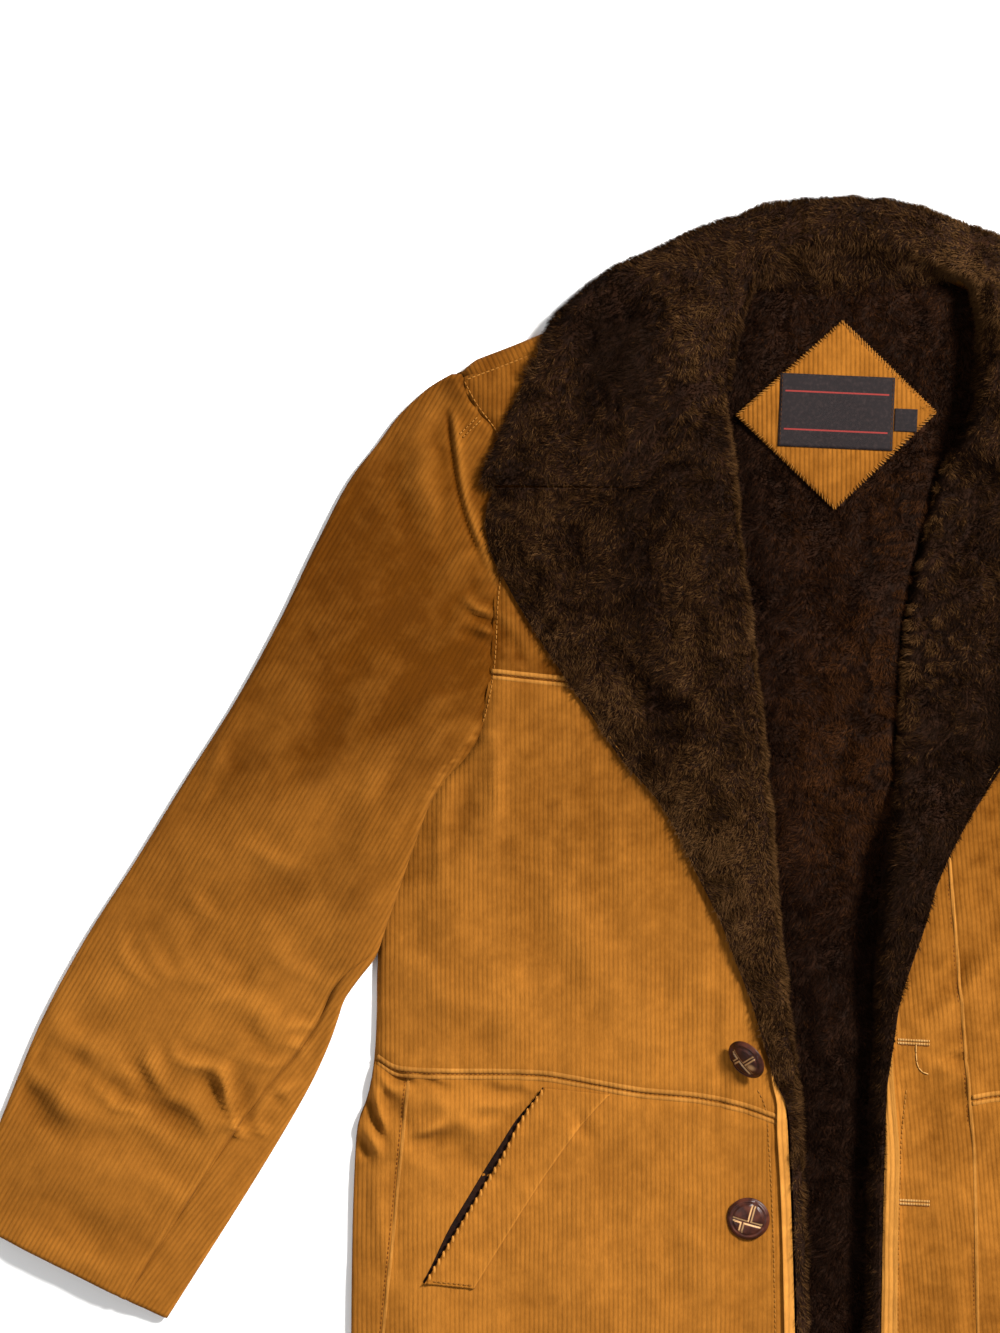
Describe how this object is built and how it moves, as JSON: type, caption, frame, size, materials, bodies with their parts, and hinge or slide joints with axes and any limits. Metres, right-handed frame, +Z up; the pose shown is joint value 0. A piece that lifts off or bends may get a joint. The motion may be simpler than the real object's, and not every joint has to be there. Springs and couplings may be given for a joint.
{
  "type": "rancher jacket laid flat",
  "caption": "Hip-length wide-wale corduroy rancher jacket with brown pile collar, lapels and lining, laid open on its back.",
  "frame": {"origin": "on the floor, on the centre line, under the middle of the back", "axes": "+X toward the wearer's left sleeve, +Y from the hem to the collar, +Z up from the floor"},
  "size_m": [1.152, 0.813, 0.0338],
  "materials": {
    "corduroy": "wide-wale corduroy, matt nap",
    "brown_pile": "dense brown pile, matt",
    "woven_tape": "black woven tape, bare",
    "braided_leather": "braided leather, semi-gloss"
  },
  "bodies": {
    "root": {"back_lining": "brown_pile", "back_shell": "corduroy", "button_1": "braided_leather", "button_2": "braided_leather", "button_3": "braided_leather", "collar": "brown_pile", "facing_l": "brown_pile", "facing_r": "brown_pile", "front_body_l": "corduroy", "front_body_r": "corduroy", "front_skirt_l": "corduroy", "front_skirt_r": "corduroy", "front_yoke_l": "corduroy", "front_yoke_r": "corduroy", "label": "woven_tape", "label_patch": "corduroy", "pocket_welt_l": "corduroy", "pocket_welt_r": "corduroy", "size_tab": "woven_tape", "sleeve_top_l": "corduroy", "sleeve_top_r": "corduroy", "sleeve_under_l": "corduroy", "sleeve_under_r": "corduroy", "under_lapel_l": "corduroy", "under_lapel_r": "corduroy"}
  },
  "joints": []
}
